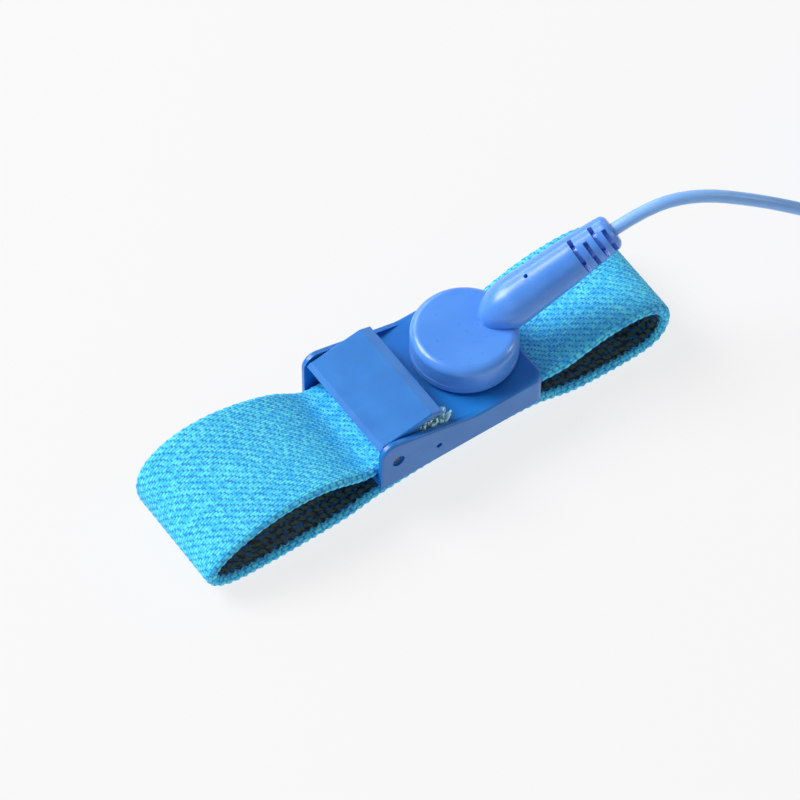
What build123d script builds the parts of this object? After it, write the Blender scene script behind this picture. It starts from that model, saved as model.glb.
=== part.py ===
"""ESD wrist strap: a knitted elastic loop in a cam clasp, with a snap cap, its lead and a 4 mm plug.

Millimetres, +Z up. The strap lies on its lower run: the origin is under the middle of the loop, at the
surface it lies on. X runs along the strap, from the free end's side to the lead's side.
"""

import os
from math import cos, pi, radians, sin, tan

from build123d import *

os.makedirs("parts", exist_ok=True)

# ---------------------------------------------------------------- driving dimensions
# elastic band
band_width = 20.0
band_thick = 2.05
loop_half = 45.4  # from the middle of the loop to the outside of either end
cut_end_x = 1.0  # the cut end of the band, under the lip of the lever
fixed_end_x = 5.5  # the end that the rivet holds, under the bridge plate

# clasp tray
tray_length = 32.5
tray_width = 23.4
tray_x = 4.0  # middle of the tray
tray_base = 6.0  # underside of the tray, above the surface
floor_thick = 1.45
wall_thick = 1.0
wall_high = 10.6  # height of the side walls at the hinge end
plate_high = 5.6  # height of the bridge plate's top above the tray's underside
plate_thick = 1.8
plate_left = 1.7  # left edge of the bridge plate
slope_end = 6.5  # where the side walls come down to the plate's top

# lever and its pin
pin_x = -9.0
pin_z = 11.3
pin_radius = 0.75
pin_head_radius = 1.15  # of the recess round its ends
pin_recess = 0.4  # of its ends below the outside of the walls
lever_width = 20.8
cam_radius = 1.5

# snap and cap
snap_x = 12.1
cap_radius = 9.0
cap_bottom = 12.1
cap_parting = 13.9
cap_top = 18.3
seam_chamfer = 0.12
cavity_radius = 6.95
cavity_high = 2.4
neck_radius = 1.75
stud_head_radius = 2.0
stud_top = 14.4
stud_flange = 4.6
stud_seat = 0.35  # how deep its flange is let into the plate
rivet_radius = 1.5
socket_foot = 12.5
socket_top = 15.0
socket_flange = 5.15
socket_cup = 3.6
socket_bore = 2.72
base_bore = 2.45
ring_wire = 0.25
ring_radius = 2.4

# lead
barrel_turn = -8.0  # heading of the barrel in plan, from +X
barrel_rise = 25.0  # how steeply the barrel climbs
barrel_z = 16.1  # height at which the barrel's axis meets the cap's
barrel_root = 10.4  # where along its axis the barrel reaches its full width
barrel_big = 4.15
barrel_small = 3.65
relief_start = 22.0
relief_end = 29.8
relief_small = 3.1
cord_radius = 1.1

# plug
plug_x = 100.5  # back of the plug's grip
plug_y = -20.3
grip_radius = 4.5
grip_length = 20.0
plug_radius = 2.0
plug_length = 17.5

# ---------------------------------------------------------------- worked out from these
tray_left = tray_x - tray_length / 2
tray_right = tray_x + tray_length / 2
floor_top = tray_base + floor_thick
plate_top = tray_base + plate_high
plate_under = plate_top - plate_thick
inner_half = tray_width / 2 - wall_thick
band_half = band_thick / 2
cord_section = pi * cord_radius**2
band_z = floor_top + 0.05 + band_half  # middle of the band where it lies in the tray

stud_foot = plate_top - stud_seat
rivet_top = stud_top - 2.0
snap_axis = Axis((snap_x, 0, 0), (0, 0, 1))
along = Vector(cos(radians(barrel_rise)), 0, sin(radians(barrel_rise))).rotate(Axis.Z, barrel_turn)
aside = Vector(0, 1, 0).rotate(Axis.Z, barrel_turn)
barrel_start = Vector(snap_x, 0, barrel_z)
barrel_axis = Axis(barrel_start, along)
# local x runs out along the barrel and local y away from it, upwards
barrel_side = Plane(origin=barrel_start, x_dir=along, z_dir=-aside)


def on_barrel(distance, height=0.0):
    """The point at a distance along the barrel's axis and a height off it."""
    return barrel_side.from_local_coords(Vector(distance, height, 0))


def save(piece, name):
    piece.part.label = name
    export_step(piece.part, f"parts/{name}.step")


# ---------------------------------------------------------------- wrist band
# the band's middle line, from the fixed end round the loop to the cut end
bend = loop_half - band_half
under_tray_z = 3.2
band_line = [
    (fixed_end_x, band_z),
    (22.5, band_z),
    (31.5, 11.2),
    (bend, 11.0),
    (bend, band_half),
    (29.5, band_half),
    (18.0, under_tray_z),
    (-2.0, under_tray_z),
    (-16.0, band_half),
    (-bend, band_half),
    (-bend, 13.0),
    (-33.0, 15.4),
    (-21.5, 13.2),
    (-14.8, band_z),
    (cut_end_x, band_z),
]
band_bends = [10, 12, 4.7, 4.7, 14, 14, 14, 14, 5.5, 5.5, 14, 10, 3.2]

with BuildPart() as wrist_band:
    with BuildLine(Plane.XZ) as band_path:
        FilletPolyline(*band_line, radius=band_bends)
    with BuildSketch(Plane(band_path.line @ 0, x_dir=(0, 1, 0), z_dir=band_path.line % 0)):
        Rectangle(band_width, band_thick)
    sweep(path=band_path.line)
    with Locations(Plane(origin=(snap_x, 0, band_z))):
        Hole(radius=1.7, depth=band_thick)
save(wrist_band, "wrist_band")

# ---------------------------------------------------------------- clasp tray
with BuildPart() as clasp_tray:
    with BuildSketch(Plane.XZ) as tray_side:
        with BuildLine():
            Polyline(
                (tray_left, tray_base),
                (tray_left, tray_base + wall_high),
                (slope_end, plate_top),
                (tray_right, plate_top),
                (tray_right, tray_base),
                close=True,
            )
        make_face()
        hinge_corner = tray_side.vertices().group_by(Axis.Y)[-1]
        fillet(hinge_corner, 2.4)
        knee = tray_side.vertices().sort_by_distance((slope_end, plate_top))[0]
        fillet(knee, 6.0)
    extrude(amount=tray_width / 2, both=True)
    fillet(clasp_tray.edges().filter_by(Axis.Z).group_by(Axis.X)[-1], 2.0)
    outside = clasp_tray.faces().filter_by(Axis.Y).group_by(Axis.Y)
    rims = outside[0].edges() + outside[-1].edges()
    fillet(rims.filter_by(lambda edge: edge.center().Z > tray_base + 0.1), 0.45)
    # the open half, under the lever
    with BuildSketch(Plane.XZ):
        with Locations((tray_left - 1, floor_top)):
            Rectangle(plate_left - tray_left + 1, 2 * wall_high, align=(Align.MIN, Align.MIN))
    extrude(amount=inner_half, both=True, mode=Mode.SUBTRACT)
    # the walls stand above the left part of the bridge plate
    with BuildSketch(Plane.XZ):
        with Locations((tray_left, plate_top)):
            Rectangle(2 * slope_end - tray_left, wall_high, align=(Align.MIN, Align.MIN))
    extrude(amount=inner_half, both=True, mode=Mode.SUBTRACT)
    # the channel that the band fills, under the bridge plate
    with BuildSketch(Plane.XZ):
        with Locations((tray_left, floor_top)):
            Rectangle(tray_length + 1, plate_under - floor_top, align=(Align.MIN, Align.MIN))
    extrude(amount=inner_half, both=True, mode=Mode.SUBTRACT)
    # cross-pin holes, each with a shallow recess outside
    for side in (-1, 1):
        wall_face = Plane(origin=(pin_x, side * tray_width / 2, pin_z), z_dir=(0, side, 0))
        with Locations(wall_face):
            CounterBoreHole(pin_radius, pin_head_radius, pin_recess, depth=wall_thick + 0.5)
        # moulding dimple beside it
        with Locations(Plane(origin=(-1.0, side * tray_width / 2, 9.3), z_dir=(0, side, 0))):
            Hole(radius=0.55, depth=0.5)
    # rivet hole, and the seat of the snap stud's flange
    with Locations(Plane(origin=(snap_x, 0, plate_top))):
        CounterBoreHole(rivet_radius, stud_flange + 0.1, stud_seat, depth=plate_high)
save(clasp_tray, "clasp_tray")

# ---------------------------------------------------------------- lever pin
with BuildPart() as lever_pin:
    with BuildSketch(Plane.XZ):
        with Locations((pin_x, pin_z)):
            Circle(pin_radius)
    extrude(amount=tray_width / 2 - pin_recess, both=True)
    chamfer(lever_pin.edges().group_by(Axis.Y)[0] + lever_pin.edges().group_by(Axis.Y)[-1], 0.15)
save(lever_pin, "lever_pin")

# ---------------------------------------------------------------- clasp lever
heel = (-11.85, 14.45)
crease = (-11.05, 15.2)
top_end = (-1.5, 16.85)
lip = (0.6, 16.15)
lip_under = (0.45, 15.3)
grip_end = (-3.0, 15.4)
cam_front = (-6.7, 11.6)
cam_back = (-10.4, 11.2)

with BuildPart() as clasp_lever:
    with BuildSketch(Plane.XZ):
        with BuildLine():
            Polyline(crease, top_end, lip, lip_under)
            ThreePointArc(lip_under, (-1.2, 15.62), grip_end)
            Polyline(grip_end, (-5.8, 14.7), cam_front)
            ThreePointArc(cam_front, (pin_x, pin_z - cam_radius + 0.25), cam_back)
            Polyline(cam_back, (-10.7, 12.2), heel, crease)
        make_face()
    extrude(amount=lever_width / 2, both=True)
    # softened top edges on both sides, and softened lip
    sides = clasp_lever.faces().filter_by(Axis.Y).edges()
    lip_edges = clasp_lever.edges().filter_by(Axis.Y).group_by(Axis.X)[-1]
    fillet(sides.filter_by(lambda edge: edge.center().Z > 15.9) + lip_edges, 0.25)
    # teeth of the cam, that bite the band
    tooth_root = cam_radius - 0.5
    for turn in range(-110, -60, 16):
        outwards = (cos(radians(turn)), 0, sin(radians(turn)))
        tooth = Plane(origin=(pin_x, 0, pin_z), x_dir=outwards, z_dir=(0, -1, 0))
        with BuildSketch(tooth):
            with BuildLine():
                Polyline((tooth_root, -0.35), (cam_radius, 0), (tooth_root, 0.35), close=True)
            make_face()
        extrude(amount=lever_width / 2 - 0.6, both=True)
    with Locations(Plane(origin=(pin_x, 0, pin_z), z_dir=(0, -1, 0))):
        Hole(radius=pin_radius + 0.05)
save(clasp_lever, "clasp_lever")

# ---------------------------------------------------------------- contact plate, rivet and snap stud
contact_thick = 0.4
with BuildPart() as contact_plate:
    with BuildSketch(Plane.XY.offset(tray_base - contact_thick)):
        with Locations((tray_x, 0)):
            RectangleRounded(26.0, 18.0, 2.5)
        with Locations((snap_x, 0)):
            Circle(rivet_radius, mode=Mode.SUBTRACT)
    extrude(amount=contact_thick)
save(contact_plate, "contact_plate")

with BuildPart() as stud_rivet:
    with BuildSketch(Plane.XZ) as rivet_half:
        with BuildLine():
            Line((snap_x, 5.0), (snap_x + 1.6, 5.0))
            ThreePointArc((snap_x + 1.6, 5.0), (snap_x + 2.7, 5.2), (snap_x + 3.2, 5.6))
            Polyline(
                (snap_x + 3.2, 5.6),
                (snap_x + rivet_radius, 5.6),
                (snap_x + rivet_radius, rivet_top),
                (snap_x, rivet_top),
                (snap_x, 5.0),
            )
        make_face()
    revolve(axis=snap_axis)
save(stud_rivet, "stud_rivet")

with BuildPart() as snap_stud:
    with BuildSketch(Plane.XZ):
        with BuildLine():
            Polyline(
                (snap_x, rivet_top),
                (snap_x + rivet_radius, rivet_top),
                (snap_x + rivet_radius, stud_foot),
                (snap_x + stud_flange, stud_foot),
                (snap_x + stud_flange, plate_top),
                (snap_x + neck_radius, plate_top + 0.1),
                (snap_x + neck_radius, stud_top - 1.6),
                (snap_x + stud_head_radius, stud_top - 1.2),
                (snap_x + stud_head_radius, stud_top - 0.5),
                (snap_x + 1.4, stud_top),
                (snap_x, stud_top),
                close=True,
            )
        make_face()
    revolve(axis=snap_axis)
save(snap_stud, "snap_stud")

# ---------------------------------------------------------------- snap ring, socket, cap base
with BuildPart() as snap_ring:
    ring_start = Plane(origin=(snap_x + ring_radius, 0, socket_foot + 0.35), z_dir=(0, 1, 0))
    with BuildSketch(ring_start):
        Circle(ring_wire)
    revolve(axis=snap_axis, revolution_arc=330)
save(snap_ring, "snap_ring")

with BuildPart() as snap_socket:
    with BuildSketch(Plane.XZ):
        with BuildLine():
            Polyline(
                (snap_x + socket_bore, socket_foot),
                (snap_x + socket_flange, socket_foot),
                (snap_x + socket_flange, socket_foot + 0.4),
                (snap_x + socket_cup, socket_foot + 0.4),
                (snap_x + socket_cup, socket_top),
                (snap_x, socket_top),
                (snap_x, socket_top - 0.3),
                (snap_x + socket_bore, socket_top - 0.3),
                close=True,
            )
        make_face()
    revolve(axis=snap_axis)
save(snap_socket, "snap_socket")

spigot_radius = cavity_radius - 0.05
with BuildPart() as cap_base:
    with BuildSketch(Plane.XZ):
        with BuildLine():
            Polyline(
                (snap_x + base_bore, cap_bottom),
                (snap_x + cap_radius, cap_bottom),
                (snap_x + cap_radius, cap_parting),
                (snap_x + spigot_radius, cap_parting),
                (snap_x + spigot_radius, cap_parting + 0.9),
                (snap_x + spigot_radius - 1.0, cap_parting + 0.9),
                (snap_x + socket_flange + 0.05, socket_foot + 0.4),
                (snap_x + socket_flange + 0.05, socket_foot),
                (snap_x + base_bore, socket_foot),
                close=True,
            )
        make_face()
    revolve(axis=snap_axis)
    lowest = cap_base.edges().filter_by(GeomType.CIRCLE).group_by(Axis.Z)[0]
    fillet(lowest.sort_by(SortBy.RADIUS)[-1], 0.6)
    circles = cap_base.edges().filter_by(GeomType.CIRCLE)
    outer = circles.filter_by(lambda edge: edge.radius > cap_radius - 0.05)
    chamfer(outer.group_by(Axis.Z)[-1], seam_chamfer)
save(cap_base, "cap_base")

# ---------------------------------------------------------------- cap shell with its barrel
barrel_nose = (3.4, 0)
with BuildPart() as cap_shell:
    with BuildSketch(Plane.XY.offset(cap_parting)):
        with Locations((snap_x, 0)):
            Circle(cap_radius)
    extrude(amount=cap_top - cap_parting)
    fillet(cap_shell.edges().group_by(Axis.Z)[-1], 1.5)
    chamfer(cap_shell.edges().group_by(Axis.Z)[0], seam_chamfer)
    # the barrel, domed where it grows out of the cap
    with BuildSketch(barrel_side):
        with BuildLine():
            Spline(barrel_nose, (5.3, 2.9), (barrel_root, barrel_big), tangents=[(0, 1), (1, -0.04)])
            Polyline(
                (barrel_root, barrel_big),
                (relief_start, barrel_small),
                (relief_start, 0),
                barrel_nose,
            )
        make_face()
    revolve(axis=barrel_axis)
    # cavity over the socket, bore for the resistor and the way between them
    with BuildSketch(Plane.XY.offset(cap_parting)):
        with Locations((snap_x, 0)):
            Circle(cavity_radius)
    extrude(amount=cavity_high, mode=Mode.SUBTRACT)
    with BuildSketch(Plane(origin=on_barrel(relief_start), z_dir=-along)):
        Circle(1.7)
    extrude(amount=relief_start - 9.0, mode=Mode.SUBTRACT)
    duct_start = Vector(5.4, 0, 0).rotate(Axis.Z, barrel_turn) + Vector(snap_x, 0, 15.6)
    duct_end = on_barrel(9.8)
    with BuildSketch(Plane(origin=duct_start, z_dir=duct_end - duct_start)):
        Circle(0.9)
    extrude(amount=(duct_end - duct_start).length, mode=Mode.SUBTRACT)
    # vent
    with BuildSketch(Plane(origin=on_barrel(14.0, 5.0), z_dir=-barrel_side.y_dir)):
        Circle(0.38)
    extrude(amount=2.2, mode=Mode.SUBTRACT)
save(cap_shell, "cap_shell")

# ---------------------------------------------------------------- resistor, leads and crimp, in the barrel
resistor_start = 11.2
resistor_end = 17.5
with BuildPart() as resistor_body:
    with BuildSketch(Plane(origin=on_barrel(resistor_start), z_dir=along)):
        Circle(1.2)
    extrude(amount=resistor_end - resistor_start)
    fillet(resistor_body.edges().filter_by(GeomType.CIRCLE), 0.5)
save(resistor_body, "resistor_body")

socket_lug = Vector(3.0, 0, 0).rotate(Axis.Z, barrel_turn) + Vector(snap_x, 0, socket_top)
with BuildPart() as resistor_leads:
    with BuildLine() as front_lead:
        FilletPolyline(
            on_barrel(resistor_start),
            on_barrel(9.9),
            duct_start + Vector(0, 0, 0.2),
            socket_lug + Vector(0, 0, 0.45),
            socket_lug,
            radius=[0.5, 0.8, 0.3],
        )
    with BuildSketch(Plane(front_lead.line @ 0, z_dir=front_lead.line % 0)):
        Circle(0.3)
    sweep(path=front_lead.line)
    with BuildSketch(Plane(origin=on_barrel(resistor_end), z_dir=along)):
        Circle(0.3)
    extrude(amount=2.0)
save(resistor_leads, "resistor_leads")

with BuildPart() as wire_crimp:
    with BuildSketch(Plane(origin=on_barrel(18.5), z_dir=along)):
        Circle(0.95)
        Circle(0.3, mode=Mode.SUBTRACT)
    extrude(amount=3.0)
save(wire_crimp, "wire_crimp")

# ---------------------------------------------------------------- strain relief
# staggered slots let it bend: each station has two, facing each other
slot_width = 0.75
slot_floor = 1.9
slot_arc = 118.0
slot_stations = [(22.9, 40.5), (24.9, 73.5), (26.8, 40.5), (28.5, 73.5)]

with BuildPart() as strain_relief:
    with BuildSketch(barrel_side):
        with BuildLine():
            Polyline(
                (relief_start, 0),
                (relief_start, barrel_small),
                (relief_end, relief_small),
                (relief_end, 0),
                close=True,
            )
        make_face()
    revolve(axis=barrel_axis)
    fillet(strain_relief.edges().filter_by(GeomType.CIRCLE).sort_by(barrel_axis)[-1], 1.3)
    for station, middle in slot_stations:
        for facing in (0, 180):
            slot_begins = (-aside).rotate(barrel_axis, middle + facing - slot_arc / 2)
            with BuildSketch(Plane(origin=barrel_start, x_dir=along, z_dir=slot_begins)):
                with Locations((station, slot_floor)):
                    Rectangle(slot_width, 3.0, align=(Align.CENTER, Align.MIN))
            revolve(axis=barrel_axis, revolution_arc=slot_arc, mode=Mode.SUBTRACT)
    with BuildSketch(Plane(origin=on_barrel(relief_end), z_dir=-along)):
        Circle(cord_radius)
    extrude(amount=2.8, mode=Mode.SUBTRACT)
save(strain_relief, "strain_relief")


# ---------------------------------------------------------------- the cord
def corner_radii(points):
    """The largest arc that each corner's two runs leave room for."""
    points = [Vector(p) for p in points]
    radii = []
    for before, here, after in zip(points, points[1:], points[2:]):
        run_in = here - before
        run_out = after - here
        half_turn = radians(run_in.get_angle(run_out)) / 2
        radii.append(0.45 * min(run_in.length, run_out.length) / tan(half_turn))
    print("cord radii", [round(radius, 1) for radius in radii])
    return radii


def cord_tube(points):
    """One stretch of cord along a route, as runs joined by tangent arcs."""
    with BuildPart() as tube:
        with BuildLine() as route:
            FilletPolyline(*points, radius=corner_radii(points))
        with BuildSketch(Plane(route.line @ 0, z_dir=route.line % 0)):
            Circle(cord_radius)
        sweep(path=route.line)
    length = route.wires()[0].length
    section = tube.part.volume / length
    print("cord length", round(length, 1), "section", round(section, 2), "expected", round(cord_section, 2))
    return tube


hank_x = 112.4
hank_y = -1.2
hank_straight = 24.0  # between the middles of its two folds
hank_fold = 8.8  # radius of the middle of the folds
hank_wide = 8.8  # each bundle of turns
hank_high = 9.6
hank_foot = 0.35

lead_route = [
    on_barrel(27.0),
    on_barrel(35.5),
    (53.0, -7.0, 31.2),
    (63.5, -10.8, 25.8),
    (73.0, -12.9, 18.4),
    (81.5, -13.2, 10.2),
    (89.8, -11.8, 3.5),
    (98.0, -10.3, 1.1),
    (105.5, -10.0, 1.1),
]
cord_lead = cord_tube(lead_route)
save(cord_lead, "cord_lead")

tail_route = [
    (96.5, 9.8, 7.0),
    (90.5, 7.0, 6.0),
    (86.2, 1.5, 3.8),
    (84.8, -5.4, 1.6),
    (86.4, -12.2, 1.1),
    (91.0, -17.6, 2.0),
    (97.5, plug_y, grip_radius),
    (plug_x + 2.0, plug_y, grip_radius),
]
cord_tail = cord_tube(tail_route)
save(cord_tail, "cord_tail")

hank_outer = hank_fold + hank_wide / 2
hank_inner = hank_fold - hank_wide / 2
with BuildPart() as cord_hank:
    with BuildSketch(Plane.XY.offset(hank_foot)):
        with Locations((hank_x, hank_y)):
            SlotOverall(hank_straight + 2 * hank_outer, 2 * hank_outer)
            SlotOverall(hank_straight + 2 * hank_inner, 2 * hank_inner, mode=Mode.SUBTRACT)
    extrude(amount=hank_high)
    fillet(cord_hank.edges().group_by(Axis.Z)[0] + cord_hank.edges().group_by(Axis.Z)[-1], 2.0)
save(cord_hank, "cord_hank")

tie_thick = 0.7
tie_wide = 5.0
with BuildPart() as cord_tie:
    with BuildSketch(Plane(origin=(hank_x, hank_y, 0), x_dir=(0, 1, 0), z_dir=(1, 0, 0))):
        with Locations((0, hank_foot + hank_high / 2)):
            RectangleRounded(2 * hank_outer + tie_thick, hank_high + tie_thick, 2.35)
            RectangleRounded(2 * hank_outer - tie_thick, hank_high - tie_thick, 1.65, mode=Mode.SUBTRACT)
    extrude(amount=tie_wide / 2, both=True)
save(cord_tie, "cord_tie")

# ---------------------------------------------------------------- 4 mm plug
# local x runs from the back of the grip to the tip of the plug, local y away from the axis
plug_side = Plane(origin=(plug_x, plug_y, grip_radius), x_dir=(1, 0, 0), z_dir=(0, -1, 0))
plug_axis = Axis(plug_side.origin, plug_side.x_dir)
pin_start = grip_length
nose = pin_start + 13.5
plug_tip = pin_start + plug_length

with BuildPart() as plug_grip:
    with BuildSketch(plug_side):
        with BuildLine():
            Line((0, 0), (0, 2.2))
            Line((0, 2.2), (4.0, 2.5))
            Spline((4.0, 2.5), (7.0, 3.6), (9.5, grip_radius), tangents=[(1, 0.1), (1, 0)])
            Polyline(
                (9.5, grip_radius), (grip_length - 0.8, grip_radius), (grip_length, 3.7), (grip_length, 0)
            )
            Line((grip_length, 0), (0, 0))
        make_face()
    revolve(axis=plug_axis)
    # finger grooves
    for groove in range(5):
        with BuildSketch(plug_side):
            with Locations((11.2 + 1.6 * groove, grip_radius)):
                Circle(0.45)
        revolve(axis=plug_axis, mode=Mode.SUBTRACT)
    # the cord's end sits in the back of it
    with BuildSketch(Plane(origin=plug_side.origin, z_dir=plug_side.x_dir)):
        Circle(cord_radius)
    extrude(amount=2.0, mode=Mode.SUBTRACT)
save(plug_grip, "plug_grip")

with BuildPart() as plug_pin:
    with BuildSketch(plug_side):
        with BuildLine():
            Polyline(
                (pin_start, 0),
                (pin_start, plug_radius),
                (pin_start + 2.5, plug_radius),
                (pin_start + 2.5, 1.3),
                (nose, 1.3),
                (nose, plug_radius),
                (nose + 2.2, plug_radius),
                (plug_tip - 0.6, 1.3),
                (plug_tip, 0.7),
                (plug_tip, 0),
                close=True,
            )
        make_face()
    revolve(axis=plug_axis)
save(plug_pin, "plug_pin")

with BuildPart() as plug_spring:
    with BuildSketch(plug_side):
        with BuildLine():
            Line((pin_start + 2.6, 1.35), (pin_start + 2.6, 1.6))
            ThreePointArc((pin_start + 2.6, 1.6), (pin_start + 8.0, 1.97), (nose - 0.1, 1.6))
            Line((nose - 0.1, 1.6), (nose - 0.1, 1.35))
            ThreePointArc((nose - 0.1, 1.35), (pin_start + 8.0, 1.72), (pin_start + 2.6, 1.35))
        make_face()
    revolve(axis=plug_axis)
    # slots between the leaves
    for turn in range(0, 360, 60):
        facing = plug_side.z_dir.rotate(plug_axis, turn)
        leaf_side = Plane(origin=plug_side.origin, x_dir=plug_side.x_dir, z_dir=facing)
        with BuildSketch(leaf_side.offset(1.2)):
            with Locations((pin_start + 8.0, 0)):
                SlotOverall(8.4, 0.55)
        extrude(amount=1.2, mode=Mode.SUBTRACT)
save(plug_spring, "plug_spring")
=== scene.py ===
"""Looks of the ESD wrist strap, in metres: knitted band, clasp, snap cap, lead and plug."""

import math
import random

import bpy
import numpy as np
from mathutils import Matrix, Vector


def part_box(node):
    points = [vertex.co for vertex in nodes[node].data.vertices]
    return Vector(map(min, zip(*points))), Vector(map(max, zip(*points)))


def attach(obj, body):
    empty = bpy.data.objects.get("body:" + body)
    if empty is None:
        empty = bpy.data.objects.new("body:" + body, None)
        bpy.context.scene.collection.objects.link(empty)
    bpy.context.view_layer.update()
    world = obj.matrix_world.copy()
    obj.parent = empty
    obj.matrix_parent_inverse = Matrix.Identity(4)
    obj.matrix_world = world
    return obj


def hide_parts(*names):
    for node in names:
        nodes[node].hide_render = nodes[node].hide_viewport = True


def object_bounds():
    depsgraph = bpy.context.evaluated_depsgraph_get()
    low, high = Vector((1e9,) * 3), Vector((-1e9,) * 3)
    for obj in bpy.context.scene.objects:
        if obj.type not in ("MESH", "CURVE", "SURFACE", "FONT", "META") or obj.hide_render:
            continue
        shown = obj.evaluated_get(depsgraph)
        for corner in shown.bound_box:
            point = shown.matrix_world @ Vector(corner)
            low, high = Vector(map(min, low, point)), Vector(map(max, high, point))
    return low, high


MM = 0.001

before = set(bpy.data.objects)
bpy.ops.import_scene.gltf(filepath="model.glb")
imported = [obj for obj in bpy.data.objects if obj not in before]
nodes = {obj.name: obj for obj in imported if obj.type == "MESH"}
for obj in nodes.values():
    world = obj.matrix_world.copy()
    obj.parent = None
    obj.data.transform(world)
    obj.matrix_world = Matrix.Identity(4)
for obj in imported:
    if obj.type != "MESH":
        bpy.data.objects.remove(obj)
cad_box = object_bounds()

tray_low, tray_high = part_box("clasp_tray")
cap_low, cap_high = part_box("cap_base")
band_low, band_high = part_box("wrist_band")
# the barrel climbs from the cap at 25 degrees, heading 8 degrees to the near side
barrel_rise, barrel_turn = math.radians(25), math.radians(-8)
barrel_axis = Vector(
    (
        math.cos(barrel_rise) * math.cos(barrel_turn),
        math.cos(barrel_rise) * math.sin(barrel_turn),
        math.sin(barrel_rise),
    )
)
tray_middle = (tray_low + tray_high) / 2
cap_middle = (cap_low + cap_high) / 2
barrel_foot = Vector((cap_middle.x, cap_middle.y, 16.1 * MM))


# ---------------------------------------------------------------- mesh and node helpers
def srgb(red, green, blue):
    """A colour given as it looks on a screen, 0 to 255, as the linear values that nodes take."""

    def linear(value):
        value /= 255
        return value / 12.92 if value <= 0.04045 else ((value + 0.055) / 1.055) ** 2.4

    return (linear(red), linear(green), linear(blue), 1.0)


def mesh_object(name, points, faces, material):
    mesh = bpy.data.meshes.new(name)
    mesh.from_pydata([tuple(point) for point in points], [], faces)
    mesh.materials.append(material)
    mesh.polygons.foreach_set("use_smooth", [True] * len(mesh.polygons))
    mesh.update()
    piece = bpy.data.objects.new(name, mesh)
    bpy.context.scene.collection.objects.link(piece)
    return piece


class Finish:
    """One node material. Each method adds a node and returns the socket that the next one takes."""

    def __init__(self, name, **settings):
        self.material = bpy.data.materials.new(name)
        self.material.use_nodes = True
        self.tree = self.material.node_tree
        self.shader = self.tree.nodes["Principled BSDF"]
        for setting, value in settings.items():
            self.shader.inputs[setting.replace("_", " ")].default_value = value

    def plug(self, socket, value):
        if isinstance(value, bpy.types.NodeSocket):
            self.tree.links.new(value, socket)
        else:
            socket.default_value = value

    def set(self, name, value):
        self.plug(self.shader.inputs[name], value)

    def maths(self, operation, *values):
        node = self.tree.nodes.new("ShaderNodeMath")
        node.operation = operation
        for socket, value in zip(node.inputs, values):
            self.plug(socket, value)
        return node.outputs[0]

    def fade(self, value, start, end):
        """0 below start and 1 above end, smooth between them; the other way round if start is the larger."""
        node = self.tree.nodes.new("ShaderNodeMapRange")
        node.interpolation_type = "SMOOTHSTEP"
        low, high = min(start, end), max(start, end)
        settings = (value, low, high, float(start > end), float(start < end))
        for socket, setting in zip(node.inputs, settings):
            self.plug(socket, setting)
        return node.outputs[0]

    def mix(self, share, first, second):
        node = self.tree.nodes.new("ShaderNodeMix")
        node.data_type = "RGBA"
        self.plug(node.inputs[0], share)
        self.plug(node.inputs[6], first)
        self.plug(node.inputs[7], second)
        return node.outputs[2]

    def place(self):
        """Where a point is in the piece, in metres."""
        return self.tree.nodes.new("ShaderNodeTexCoord").outputs["Object"]

    def noise(self, scale, detail=2.0, place=None):
        node = self.tree.nodes.new("ShaderNodeTexNoise")
        self.plug(node.inputs["Vector"], place or self.place())
        node.inputs["Scale"].default_value = scale
        node.inputs["Detail"].default_value = detail
        return node.outputs["Fac"]

    def chance(self, *values):
        """An even random number for each set of whole numbers."""
        joined = self.tree.nodes.new("ShaderNodeCombineXYZ")
        for socket, value in zip(joined.inputs, values):
            self.plug(socket, value)
        node = self.tree.nodes.new("ShaderNodeTexWhiteNoise")
        self.plug(node.inputs["Vector"], joined.outputs[0])
        return node.outputs["Value"]

    def distance_along(self, direction, start):
        """How far a point is from a starting point, along a direction."""
        offset = self.tree.nodes.new("ShaderNodeVectorMath")
        offset.operation = "SUBTRACT"
        self.plug(offset.inputs[0], self.place())
        self.plug(offset.inputs[1], start)
        along = self.tree.nodes.new("ShaderNodeVectorMath")
        along.operation = "DOT_PRODUCT"
        self.plug(along.inputs[0], offset.outputs["Vector"])
        self.plug(along.inputs[1], direction)
        return along.outputs["Value"]

    def bump(self, height, distance, strength=1.0, normal=None):
        node = self.tree.nodes.new("ShaderNodeBump")
        node.inputs["Strength"].default_value = strength
        node.inputs["Distance"].default_value = distance
        self.plug(node.inputs["Height"], height)
        if normal:
            self.plug(node.inputs["Normal"], normal)
        return node.outputs[0]

    def attribute(self, name):
        node = self.tree.nodes.new("ShaderNodeAttribute")
        node.attribute_name = name
        split = self.tree.nodes.new("ShaderNodeSeparateXYZ")
        self.plug(split.inputs[0], node.outputs["Vector"])
        return split.outputs


# ---------------------------------------------------------------- materials
def moulded_plastic(name, colour, deep, roughness, grain=0.35):
    """Glossy moulded plastic, a little see-through at its edges, with a fine texture and faint flow marks."""
    finish = Finish(name, Coat_Weight=0.12, Coat_Roughness=0.2)
    finish.shader.inputs["Subsurface Weight"].default_value = 0.25
    finish.shader.inputs["Subsurface Radius"].default_value = (0.3, 0.6, 1.0)
    finish.shader.inputs["Subsurface Scale"].default_value = 0.9 * MM
    cloudy = finish.fade(finish.noise(140, 2.0), 0.3, 0.75)
    finish.set("Base Color", finish.mix(cloudy, colour, deep))
    fine = finish.noise(4200, 2.0)
    worn = finish.maths("MULTIPLY_ADD", finish.noise(900, 4.0), 0.16, roughness - 0.08)
    finish.set("Roughness", worn)
    finish.set("Normal", finish.bump(fine, 0.02 * MM, grain))
    return finish.material


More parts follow.
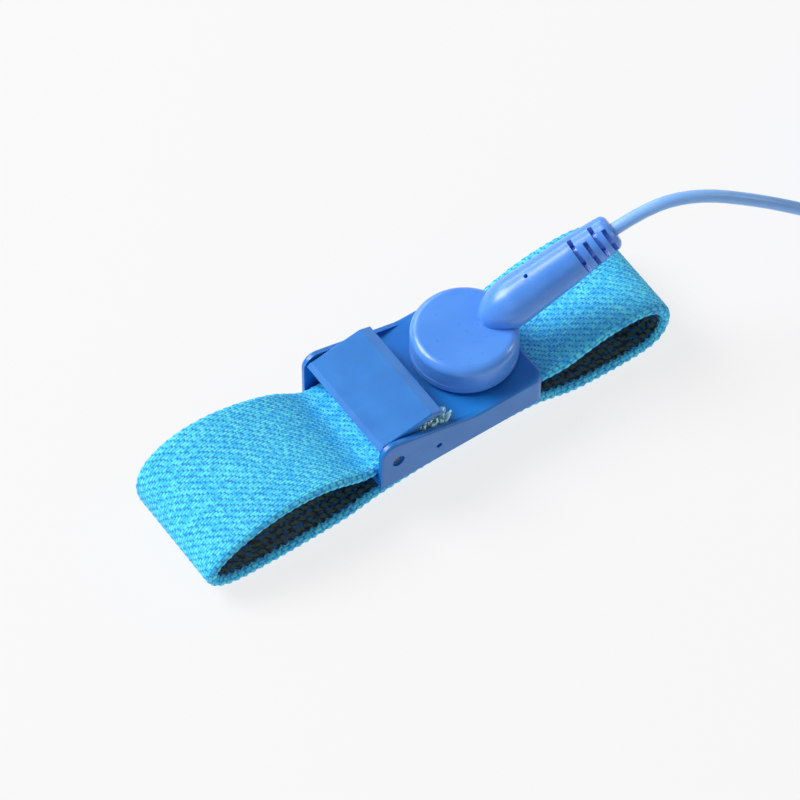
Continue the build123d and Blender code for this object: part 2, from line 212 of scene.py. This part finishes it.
def metal(name, colour, roughness, streak=60.0):
    """Bare or plated metal with fine turning marks."""
    finish = Finish(name, Metallic=1.0)
    marks = finish.noise(2500, 3.0)
    patches = finish.fade(finish.noise(streak * 8, 3.0), 0.35, 0.7)
    darker = tuple(value * 0.82 for value in colour[:3]) + (1.0,)
    finish.set("Base Color", finish.mix(patches, colour, darker))
    finish.set("Roughness", finish.maths("MULTIPLY_ADD", marks, 0.18, roughness - 0.09))
    finish.set("Normal", finish.bump(marks, 0.008 * MM, 0.4))
    return finish.material


clasp_plastic = moulded_plastic("clasp_plastic", srgb(26, 124, 208), srgb(20, 112, 196), 0.38)
cap_plastic = moulded_plastic("cap_plastic", srgb(86, 152, 240), srgb(76, 142, 232), 0.3)
cord_jacket = moulded_plastic("cord_jacket", srgb(138, 190, 250), srgb(124, 178, 244), 0.42)
grip_plastic = moulded_plastic("grip_plastic", srgb(60, 122, 220), srgb(50, 110, 208), 0.4)
tie_wrap = moulded_plastic("tie_wrap", srgb(46, 52, 66), srgb(38, 44, 56), 0.5)
pin_steel = metal("pin_steel", srgb(84, 92, 108), 0.42)
stainless = metal("stainless", srgb(198, 200, 202), 0.26)
nickel = metal("nickel", srgb(214, 208, 196), 0.2)
tinned_wire = metal("tinned_wire", srgb(196, 196, 194), 0.34)


# ---------------------------------------------------------------- band
band_half_width = (band_high.y - band_low.y) / 2
band_thick = 2.05 * MM
stitch_long = 1.54 * MM  # one repeat of the knit along the band
stitch_wide = 0.396 * MM  # one column of stitches
inner_row = 1.5 * MM  # one row of conductive yarn inside
free_spread = 0.045  # how much wider it is where the tray does not hold it


def knit():
    """Cyan knit outside, dark inside with rows of conductive yarn.

    The band attribute holds how far a point is along the band and from its middle, in metres, and its side,
    from 1 outside to -1 inside.
    """
    finish = Finish("knit_band", Roughness=0.78)
    finish.shader.inputs["Sheen Weight"].default_value = 0.2
    finish.shader.inputs["Sheen Roughness"].default_value = 0.45
    finish.shader.inputs["Sheen Tint"].default_value = srgb(120, 220, 255)
    along, across, side = finish.attribute("band")
    wander = finish.maths("MULTIPLY_ADD", finish.noise(260, 2.0), 0.5, -0.25)
    repeats = finish.maths("DIVIDE", along, stitch_long)
    column = finish.maths("ADD", finish.maths("DIVIDE", across, stitch_wide), wander)

    # outside: floats a repeat long, each column a third of a repeat behind the one before
    number = finish.maths("FLOOR", column)
    stitch = finish.maths("ADD", finish.maths("MULTIPLY_ADD", number, 1 / 3, wander), repeats)
    luck = finish.chance(number, finish.maths("FLOOR", stitch), 0.0)
    in_stitch = finish.maths("FRACT", finish.maths("MULTIPLY_ADD", luck, 0.34, stitch))
    in_column = finish.maths("FRACT", column)
    rounding = finish.maths("SINE", finish.maths("MULTIPLY", in_column, math.pi))
    float_top = finish.maths("SINE", finish.maths("MULTIPLY", in_stitch, math.pi))
    float_top = finish.maths("POWER", float_top, 0.5)
    outer_height = finish.maths("MULTIPLY", float_top, finish.maths("MULTIPLY_ADD", rounding, 0.5, 0.5))
    # painted shade: the hollows between the floats are coloured a darker blue, standing in for the shade that
    # falls in them
    hollow_painted_shade = finish.fade(finish.maths("MULTIPLY_ADD", luck, 0.3, outer_height), 0.94, 0.34)
    tuft = finish.fade(finish.noise(1100, 3.0), 0.35, 0.68)
    cyan = finish.mix(tuft, srgb(54, 200, 255), srgb(100, 236, 255))
    outer_colour = finish.mix(hollow_painted_shade, cyan, srgb(14, 134, 218))

    # inside: slanted stitches of dull yellow-green yarn on navy
    row = finish.maths("DIVIDE", finish.maths("ABSOLUTE", across), inner_row)
    in_row = finish.maths("FRACT", row)
    slant = finish.maths("FRACT", finish.maths("MULTIPLY_ADD", in_row, 0.8, repeats))
    yarn_side = finish.maths("SINE", finish.maths("MULTIPLY", in_row, math.pi))
    yarn_top = finish.maths("SINE", finish.maths("MULTIPLY", slant, math.pi))
    inner_height = finish.maths("MULTIPLY", finish.maths("POWER", yarn_side, 2.0), yarn_top)
    tangle = finish.fade(finish.noise(1500, 3.0), 0.42, 0.62)
    navy = finish.mix(tangle, srgb(3, 22, 42), srgb(20, 112, 172))
    yarn = finish.mix(finish.noise(2600, 2.0), srgb(40, 70, 58), srgb(104, 128, 88))
    inner_colour = finish.mix(finish.fade(inner_height, 0.35, 0.6), navy, yarn)

    # the two meet in a sawtooth along each edge
    saw = finish.maths("PINGPONG", repeats, 0.5)
    limit = finish.maths("MULTIPLY_ADD", saw, 0.9 * MM, band_half_width - 1.15 * MM)
    from_edge = finish.maths("SUBTRACT", finish.maths("ABSOLUTE", across), limit)
    under = finish.fade(side, 0.35, -0.1)
    inside = finish.maths("MULTIPLY", under, finish.fade(from_edge, 0.25 * MM, -0.05 * MM))
    finish.set("Base Color", finish.mix(inside, outer_colour, inner_colour))
    fuzz = finish.maths("MULTIPLY", finish.noise(5200, 2.0), 0.35)
    height = finish.maths("ADD", outer_height, fuzz)
    finish.set("Normal", finish.bump(height, 0.11 * MM, 0.9))
    return finish.material


# middle line of the band at its near and far edges, in millimetres (x, z near, x, z far), from the end under
# the rivet, round the lead's side, below the tray, round the hinge's side and back under the lever
BAND_LINE = [
    (5.5, 8.53, 5.5, 8.53),
    (9.5, 8.53, 9.5, 8.53),
    (14.0, 8.53, 14.0, 8.53),
    (18.0, 8.53, 18.0, 8.53),
    (21.5, 8.4, 21.5, 8.6),
    (25.0, 8.6, 25.0, 9.3),
    (29.0, 9.9, 29.0, 10.6),
    (33.2, 10.9, 33.2, 11.4),
    (37.6, 11.3, 37.8, 11.7),
    (41.4, 11.0, 41.6, 11.4),
    (44.4, 9.7, 44.6, 10.1),
    (45.9, 7.7, 46.0, 8.0),
    (45.9, 5.1, 46.0, 5.4),
    (44.8, 2.6, 45.1, 2.9),
    (42.2, 1.2, 42.4, 1.2),
    (38.5, 1.03, 38.5, 1.03),
    (34.5, 1.03, 34.5, 1.03),
    (30.5, 1.1, 30.5, 1.1),
    (26.5, 1.6, 26.5, 1.6),
    (22.5, 2.5, 22.5, 2.4),
    (18.0, 3.2, 18.0, 3.0),
    (12.0, 3.55, 12.0, 3.3),
    (6.0, 3.6, 6.0, 3.3),
    (0.0, 3.5, 0.0, 3.1),
    (-6.0, 3.1, -6.0, 2.4),
    (-12.0, 2.4, -12.0, 1.5),
    (-18.0, 1.8, -18.0, 1.05),
    (-24.0, 1.5, -24.0, 1.03),
    (-30.0, 1.4, -30.5, 1.03),
    (-35.0, 1.4, -36.0, 1.03),
    (-39.0, 1.6, -40.2, 1.15),
    (-42.2, 2.3, -43.2, 2.9),
    (-44.2, 4.1, -44.6, 6.0),
    (-44.0, 6.3, -44.9, 9.3),
    (-41.6, 8.5, -43.7, 12.6),
    (-38.2, 10.2, -40.6, 15.0),
    (-34.2, 11.5, -36.4, 16.2),
    (-30.0, 12.3, -32.0, 16.3),
    (-26.0, 12.4, -27.6, 15.4),
    (-22.4, 12.05, -23.8, 14.2),
    (-19.6, 11.3, -20.5, 12.8),
    (-17.1, 10.2, -17.6, 11.1),
    (-15.2, 9.1, -15.4, 9.45),
    (-13.5, 8.5, -13.5, 8.5),
    (-12.0, 8.47, -12.0, 8.47),
    (-9.0, 8.53, -9.0, 8.53),
    (-5.5, 8.53, -5.5, 8.53),
    (-2.0, 8.53, -2.0, 8.53),
    (1.0, 8.53, 1.0, 8.53),
]


def smooth_line(stations, step):
    """A cubic B-spline with the stations as its control points, as rows a step apart."""
    ends = [stations[0]] * 2, [stations[-1]] * 2
    control = np.array(ends[0] + list(stations) + ends[1], float) * MM
    rows = []
    for first in range(len(control) - 3):
        part = control[first : first + 4]
        for t in np.linspace(0, 1, 24, endpoint=False):
            weights = ((1 - t) ** 3, 3 * t**3 - 6 * t**2 + 4, -3 * t**3 + 3 * t**2 + 3 * t + 1, t**3)
            rows.append(np.array(weights) @ part / 6)
    rows = np.array(rows)
    middle = (rows[:, :2] + rows[:, 2:]) / 2
    run = np.concatenate([[0], np.cumsum(np.linalg.norm(np.diff(middle, axis=0), axis=1))])
    count = int(round(run[-1] / step)) + 1
    places = np.linspace(0, run[-1], count)
    return places, np.array([np.interp(places, run, rows[:, axis]) for axis in range(4)]).T


def knitted_band():
    """The band as one closed strip, whose edges are rounded loops and whose faces carry the knit's ridges."""
    along, line = smooth_line(BAND_LINE, stitch_long / 4)
    half = band_thick / 2
    flat = band_half_width - half
    columns = 64
    over = np.arange(-flat, flat + 1e-6, 2 * flat / columns)
    turn = np.radians(np.arange(75, -90, -15))
    rim = flat + half * np.cos(turn)
    across = np.concatenate([over, rim, over[::-1], -rim])
    side = np.concatenate([np.ones_like(over), np.sin(turn), -np.ones_like(over), -np.sin(turn)])
    out_across = np.where(np.abs(across) > flat, (np.abs(across) - flat) / half * np.sign(across), 0)
    loop = np.cos(2 * math.pi * along / stitch_long)[:, None]

    share = ((across + band_half_width) / (2 * band_half_width))[None, :]
    x = line[:, 0:1] * (1 - share) + line[:, 2:3] * share
    z = line[:, 1:2] * (1 - share) + line[:, 3:4] * share
    # the tray holds it to its width; it is a little wider where it is free
    from_tray = np.abs((line[:, 0] + line[:, 2]) / 2 - tray_middle.x) - (tray_high.x - tray_low.x) / 2
    spread = 1 + free_spread * np.clip(from_tray / (6 * MM), 0, 1)
    skin = np.stack([x, spread[:, None] * across[None, :], z], axis=-1)
    run = np.gradient(skin, axis=0)
    wide = np.full(len(line), 2 * band_half_width)
    slope = np.stack([line[:, 2] - line[:, 0], wide, line[:, 3] - line[:, 1]], -1)
    out = np.cross(run, np.broadcast_to(slope[:, None, :], run.shape))
    out /= np.linalg.norm(out, axis=2, keepdims=True)

    # ridges: loops along the edges, twill outside, rows of yarn inside
    edge = np.abs(out_across)[None, :]
    ridge = np.cos(2 * math.pi * (along[:, None] / stitch_long + across[None, :] / (3 * stitch_wide)))
    yarn = np.abs(np.sin(math.pi * across / inner_row))[None, :] * loop
    outer = np.clip(side, 0, 1)[None, :] * (1 - edge)
    inner = np.clip(-side, 0, 1)[None, :] * (1 - edge)
    relief = 0.045 * MM * ridge * outer + 0.12 * MM * yarn * inner
    # the loops of the edges show most along the lower run's near side
    low = np.clip(1 - (line[:, 1] - 2 * MM) / (3 * MM), 0, 1)[:, None]
    nearer = (across < 0)[None, :]
    scallop = (0.06 + 0.09 * low * nearer) * MM * loop * edge
    skin = skin + out * (side * half + side * (relief + scallop))[..., None]
    skin[..., 1] += out_across * scallop

    rows, around = skin.shape[:2]
    faces = []
    for row in range(rows - 1):
        for spot in range(around):
            after = (spot + 1) % around
            here, there = row * around, (row + 1) * around
            faces.append((here + spot, there + spot, there + after, here + after))
    faces.append(tuple(range(around)))
    faces.append(tuple(reversed(range((rows - 1) * around, rows * around))))
    band = mesh_object("band_knit", skin.reshape(-1, 3), faces, knit())
    places = np.stack(
        np.broadcast_arrays(along[:, None], across[None, :], side[None, :]), axis=-1
    ).reshape(-1, 3)
    band.data.attributes.new("band", "FLOAT_VECTOR", "POINT").data.foreach_set(
        "vector", places.astype(np.float32).ravel()
    )
    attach(band, "root")
    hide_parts("wrist_band")
    return band


band = knitted_band()


# ---------------------------------------------------------------- cord
CORD_RADIUS = 1.1 * MM
CORD_LENGTH = 1.8


def on_barrel(distance):
    """A place on the barrel's middle line, to a hundredth of a millimetre; the distance is in millimetres."""
    return tuple(round(value, 5) for value in barrel_foot + barrel_axis * distance * MM)


# from inside the strain relief to the hank
LEAD_ROUTE = [
    on_barrel(27.0),
    on_barrel(35.5),
    (0.05300, -0.00700, 0.03120),
    (0.06350, -0.01080, 0.02580),
    (0.07300, -0.01320, 0.01840),
    (0.08150, -0.01410, 0.01020),
    (0.08980, -0.01400, 0.00390),
    (0.09550, -0.01350, 0.00150),
]
# from the hank into the back of the plug's grip
TAIL_ROUTE = [
    (0.09280, 0.00930, 0.00860),
    (0.08600, 0.00480, 0.00620),
    (0.08460, -0.00300, 0.00320),
    (0.08560, -0.01060, 0.00140),
    (0.09020, -0.01700, 0.00180),
    (0.09650, -0.02010, 0.00390),
    (0.10250, -0.02030, 0.00450),
]

hank_low, hank_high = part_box("cord_hank")
hank_middle = (hank_low + hank_high) / 2
# the turns' radii in their folds, row by row from the lowest, nested in one another
HANK_ROWS = [
    (12.1, 9.9, 7.7, 5.5),
    (6.6, 8.8, 11.0),
    (12.1, 9.9, 7.7, 5.5),
    (6.6, 8.8, 11.0),
    (9.9, 12.1),
]
hank_rise = 2 * CORD_RADIUS * math.sin(math.radians(60))
hank_foot = hank_low.z + CORD_RADIUS
points_per_fold = 12
points_per_run = 5


def route_length(route):
    return sum(math.dist(here, there) for here, there in zip(route, route[1:]))


def hank_route():
    """The put-away length, as flat turns with two straight runs each, wound anticlockwise from above."""
    places = []
    for row, radii in enumerate(HANK_ROWS):
        places += [(radius * MM, hank_foot + row * hank_rise) for radius in radii]
    # the last turn stops at the end of its far run, so it has no second fold
    folded = sum(2 * math.pi * radius for radius, height in places) - math.pi * places[-1][0]
    put_away = CORD_LENGTH - route_length(LEAD_ROUTE) - route_length(TAIL_ROUTE)
    half_run = (put_away - folded) / (4 * len(places))
    route = []
    for (radius, height), (radius_after, height_after) in zip(places, places[1:] + places[-1:]):
        for step in range(points_per_run):
            share = step / points_per_run
            route.append((-half_run + 2 * half_run * share, -radius, height))
        for step in range(points_per_fold):
            angle = math.pi * (step / points_per_fold - 0.5)
            route.append((half_run + radius * math.cos(angle), radius * math.sin(angle), height))
        for step in range(points_per_run):
            share = step / points_per_run
            route.append((half_run - 2 * half_run * share, radius, height))
        # the second fold carries the cord over to the next turn
        for step in range(points_per_fold):
            share = step / points_per_fold
            eased = share * share * (3 - 2 * share)
            angle = math.pi * (share + 0.5)
            here = radius + (radius_after - radius) * eased
            level = height + (height_after - height) * eased
            route.append((-half_run + here * math.cos(angle), here * math.sin(angle), level))
    last_fold = points_per_fold - 1
    return [(hank_middle.x + x, hank_middle.y + y, z) for x, y, z in route[:-last_fold]]


def cord_curve():
    curve = bpy.data.curves.new("cord_flex", "CURVE")
    curve.dimensions = "3D"
    curve.bevel_depth = CORD_RADIUS
    curve.bevel_resolution = 4
    curve.resolution_u = 5
    curve.use_fill_caps = True
    route = LEAD_ROUTE + hank_route() + TAIL_ROUTE
    spline = curve.splines.new("NURBS")
    spline.points.add(len(route) - 1)
    for point, place in zip(spline.points, route):
        point.co = (*place, 1.0)
    spline.order_u = 3
    spline.use_endpoint_u = True
    curve.materials.append(cord_jacket)
    cord = bpy.data.objects.new("cord_flex", curve)
    bpy.context.scene.collection.objects.link(cord)
    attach(cord, "cap")
    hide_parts("cord_lead", "cord_hank", "cord_tail")
    return cord


def hank_tie():
    """A strap round both runs of the hank, with rounded edges and its end lapped over."""
    wide = 2.5 * MM
    half_across = 13.25 * MM
    half_high = 4.8 * MM
    corner = 1.9 * MM
    thick = 0.5 * MM
    centre = Vector((hank_middle.x, hank_middle.y, half_high + thick))
    outline = []
    for quarter, (sign_y, sign_z) in enumerate([(1, 1), (-1, 1), (-1, -1), (1, -1)]):
        for step in range(9):
            angle = math.radians(90 * quarter + 90 * step / 8)
            spot = Vector((0, sign_y * (half_across - corner), sign_z * (half_high - corner)))
            outline.append((spot + corner * Vector((0, math.cos(angle), math.sin(angle))), angle))
    # once round, and a lap over the top
    lap = outline + outline[:12]
    section = [(-wide, 0.0), (-wide * 0.94, thick), (wide * 0.94, thick), (wide, 0.0)]
    points = []
    for count, (spot, angle) in enumerate(lap):
        lift = thick * max(0.0, min(1.0, (count - len(outline) + 3) / 3))
        outward = Vector((0, math.cos(angle), math.sin(angle)))
        for along, height in section:
            points.append(centre + spot + outward * (height + lift) + Vector((along, 0, 0)))
    faces = []
    for row in range(len(lap) - 1):
        for spot in range(4):
            after = (spot + 1) % 4
            faces.append((4 * row + spot, 4 * row + 4 + spot, 4 * row + 4 + after, 4 * row + after))
    faces.append((0, 1, 2, 3))
    faces.append(tuple(4 * len(lap) - 1 - spot for spot in range(4)))
    tie = mesh_object("hank_tie", points, faces, tie_wrap)
    soften = tie.modifiers.new("soften", "BEVEL")
    soften.width = 0.12 * MM
    soften.segments = 2
    soften.limit_method = "ANGLE"
    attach(tie, "cap")
    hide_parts("cord_tie")
    return tie


cord = cord_curve()
tie = hank_tie()


# ---------------------------------------------------------------- frayed end of the band
def frayed_end():
    """Loose yarn ends of the cut band, standing up beside the lever's lip."""
    chance = random.Random(7)
    curve = bpy.data.curves.new("frayed_yarn", "CURVE")
    curve.dimensions = "3D"
    curve.bevel_depth = 0.17 * MM
    curve.bevel_resolution = 2
    curve.resolution_u = 6
    strands = 64
    nearest = -10.45 * MM
    for _ in range(strands):
        start = Vector((chance.uniform(-3.6, 1.0), chance.uniform(-10.2, -8.4), 9.2)) * MM
        lean = Vector((chance.uniform(-0.8, 2.6), chance.uniform(-1.6, 0.1), 0)) * MM
        rise = chance.uniform(3.6, 6.4) * MM
        spline = curve.splines.new("NURBS")
        spline.points.add(4)
        for step, point in enumerate(spline.points):
            share = step / 4
            curl = Vector((chance.uniform(-0.45, 0.45), chance.uniform(-0.25, 0.25), 0)) * MM * share
            place = start + lean * share**1.5 + curl + Vector((0, 0, rise * share))
            place.y = max(place.y, nearest)
            point.co = (*place, 1.0)
        spline.order_u = 3
        spline.use_endpoint_u = True
    finish = Finish("frayed_yarn", Roughness=0.7)
    # pale near-white cyan, lighter than the band's own yarn: partly the yarn's colour, partly painted light
    # that makes up for the shade under the lever
    pale = finish.mix(finish.noise(900, 2.0), srgb(150, 240, 255), srgb(240, 253, 255))
    finish.set("Base Color", pale)
    curve.materials.append(finish.material)
    yarn = bpy.data.objects.new("frayed_yarn", curve)
    bpy.context.scene.collection.objects.link(yarn)
    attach(yarn, "root")
    return yarn


frayed_end()


# ---------------------------------------------------------------- finishes of the CAD pieces
# places from the body's middle, in millimetres: brown, black, green, and gold at the far end
RESISTOR_RINGS = [
    (-2.0, srgb(104, 60, 34)),
    (-1.0, srgb(24, 22, 22)),
    (0.0, srgb(40, 116, 58)),
    (1.9, srgb(186, 148, 60)),
]


def resistor_coat():
    """A pale lacquered body with the colour bands of one megohm."""
    finish = Finish("resistor_coat", Roughness=0.3, Coat_Weight=0.4)
    low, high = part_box("resistor_body")
    centre = nodes["resistor_body"].matrix_world.inverted() @ ((low + high) / 2)
    lengthwise = finish.distance_along(barrel_axis, centre)
    colour = finish.mix(finish.noise(500), srgb(206, 182, 138), srgb(196, 170, 124))
    for place, ring in RESISTOR_RINGS:
        off_ring = finish.maths("ABSOLUTE", finish.maths("SUBTRACT", lengthwise, place * MM))
        colour = finish.mix(finish.fade(off_ring, 0.3 * MM, 0.24 * MM), colour, ring)
    finish.set("Base Color", colour)
    return finish.material


FINISHES = {
    clasp_plastic: ["clasp_tray", "clasp_lever"],
    cap_plastic: ["cap_shell", "cap_base", "strain_relief"],
    grip_plastic: ["plug_grip"],
    pin_steel: ["lever_pin"],
    stainless: ["contact_plate", "stud_rivet"],
    nickel: ["snap_stud", "snap_ring", "snap_socket", "plug_pin", "plug_spring"],
    tinned_wire: ["resistor_leads", "wire_crimp"],
    resistor_coat(): ["resistor_body"],
    cord_jacket: ["cord_lead", "cord_hank", "cord_tail"],
    tie_wrap: ["cord_tie"],
}
for material, names in FINISHES.items():
    for name in names:
        piece = nodes[name]
        piece.data.materials.clear()
        piece.data.materials.append(material)
nodes["wrist_band"].data.materials.clear()
nodes["wrist_band"].data.materials.append(band.data.materials[0])


# ---------------------------------------------------------------- stage, light and camera
def stage():
    finish = Finish("floor", Roughness=0.9)
    finish.set("Base Color", finish.mix(finish.noise(3.0), srgb(104, 104, 105), srgb(102, 102, 103)))
    # lit from below a little, as a light table is, so that shadows stay faint
    finish.shader.inputs["Emission Color"].default_value = (1, 1, 1, 1)
    finish.shader.inputs["Emission Strength"].default_value = 0.785
    finish.shader.inputs["Specular IOR Level"].default_value = 0.1
    reach = 3.0
    corners = [(-reach, -reach, 0), (reach, -reach, 0), (reach, reach, 0), (-reach, reach, 0)]
    floor = mesh_object("floor", corners, [(0, 1, 2, 3)], finish.material)
    floor.location.z = cad_box[0][2] - 0.02 * MM


def area_light(name, place, size, power, colour=(1, 1, 1), shine_only=False):
    data = bpy.data.lights.new(name, "AREA")
    data.shape = "RECTANGLE"
    data.size, data.size_y = size
    data.energy = power
    data.color = colour
    light = bpy.data.objects.new(name, data)
    light.location = tray_middle + Vector(place)
    light.rotation_euler = (-Vector(place)).to_track_quat("-Z", "Y").to_euler()
    light.visible_diffuse = not shine_only
    bpy.context.scene.collection.objects.link(light)


def camera():
    """A long lens, turned a little to the hinge's side and looking well down."""
    azimuth, elevation = math.radians(-34.7), math.radians(54)
    lens, seen = 250.0, 0.131
    away = Vector(
        (
            math.sin(azimuth) * math.cos(elevation),
            -math.cos(azimuth) * math.cos(elevation),
            math.sin(elevation),
        )
    )
    data = bpy.data.cameras.new("camera")
    data.lens = lens
    data.sensor_width = 36.0
    data.clip_start = 0.05
    data.clip_end = 20.0
    made = bpy.data.objects.new("camera", data)
    # the view's middle is a little to the left of the tray's underside, and below it
    sideways = Vector((math.cos(azimuth), math.sin(azimuth), 0))
    upwards = away.cross(sideways)
    underside = Vector((tray_middle.x, tray_middle.y, tray_low.z))
    target = underside - sideways * 3.84 * MM - upwards * 0.8 * MM
    made.location = target + away * (seen * lens / data.sensor_width)
    made.rotation_euler = away.to_track_quat("Z", "Y").to_euler()
    bpy.context.scene.collection.objects.link(made)
    bpy.context.scene.camera = made


stage()
area_light("key", (-0.72, 0.78, 1.08), (0.8, 0.8), 27.0)
area_light("fill", (-0.9, -1.0, 0.8), (1.2, 0.8), 1.0)
area_light("glance", (0.1, 1.25, 0.62), (0.9, 0.25), 5.0, shine_only=True)
area_light("rim", (1.1, -0.55, 0.55), (0.08, 0.5), 3.5, shine_only=True)
area_light("lip", (1.05, 0.65, 0.54), (0.5, 0.3), 1.2, shine_only=True)
world = bpy.data.worlds.new("studio")
world.use_nodes = True
world.node_tree.nodes["Background"].inputs["Color"].default_value = (0.98, 0.99, 1.0, 1.0)
world.node_tree.nodes["Background"].inputs["Strength"].default_value = 0.32
bpy.context.scene.world = world
bpy.context.scene.view_settings.view_transform = "Standard"
camera()
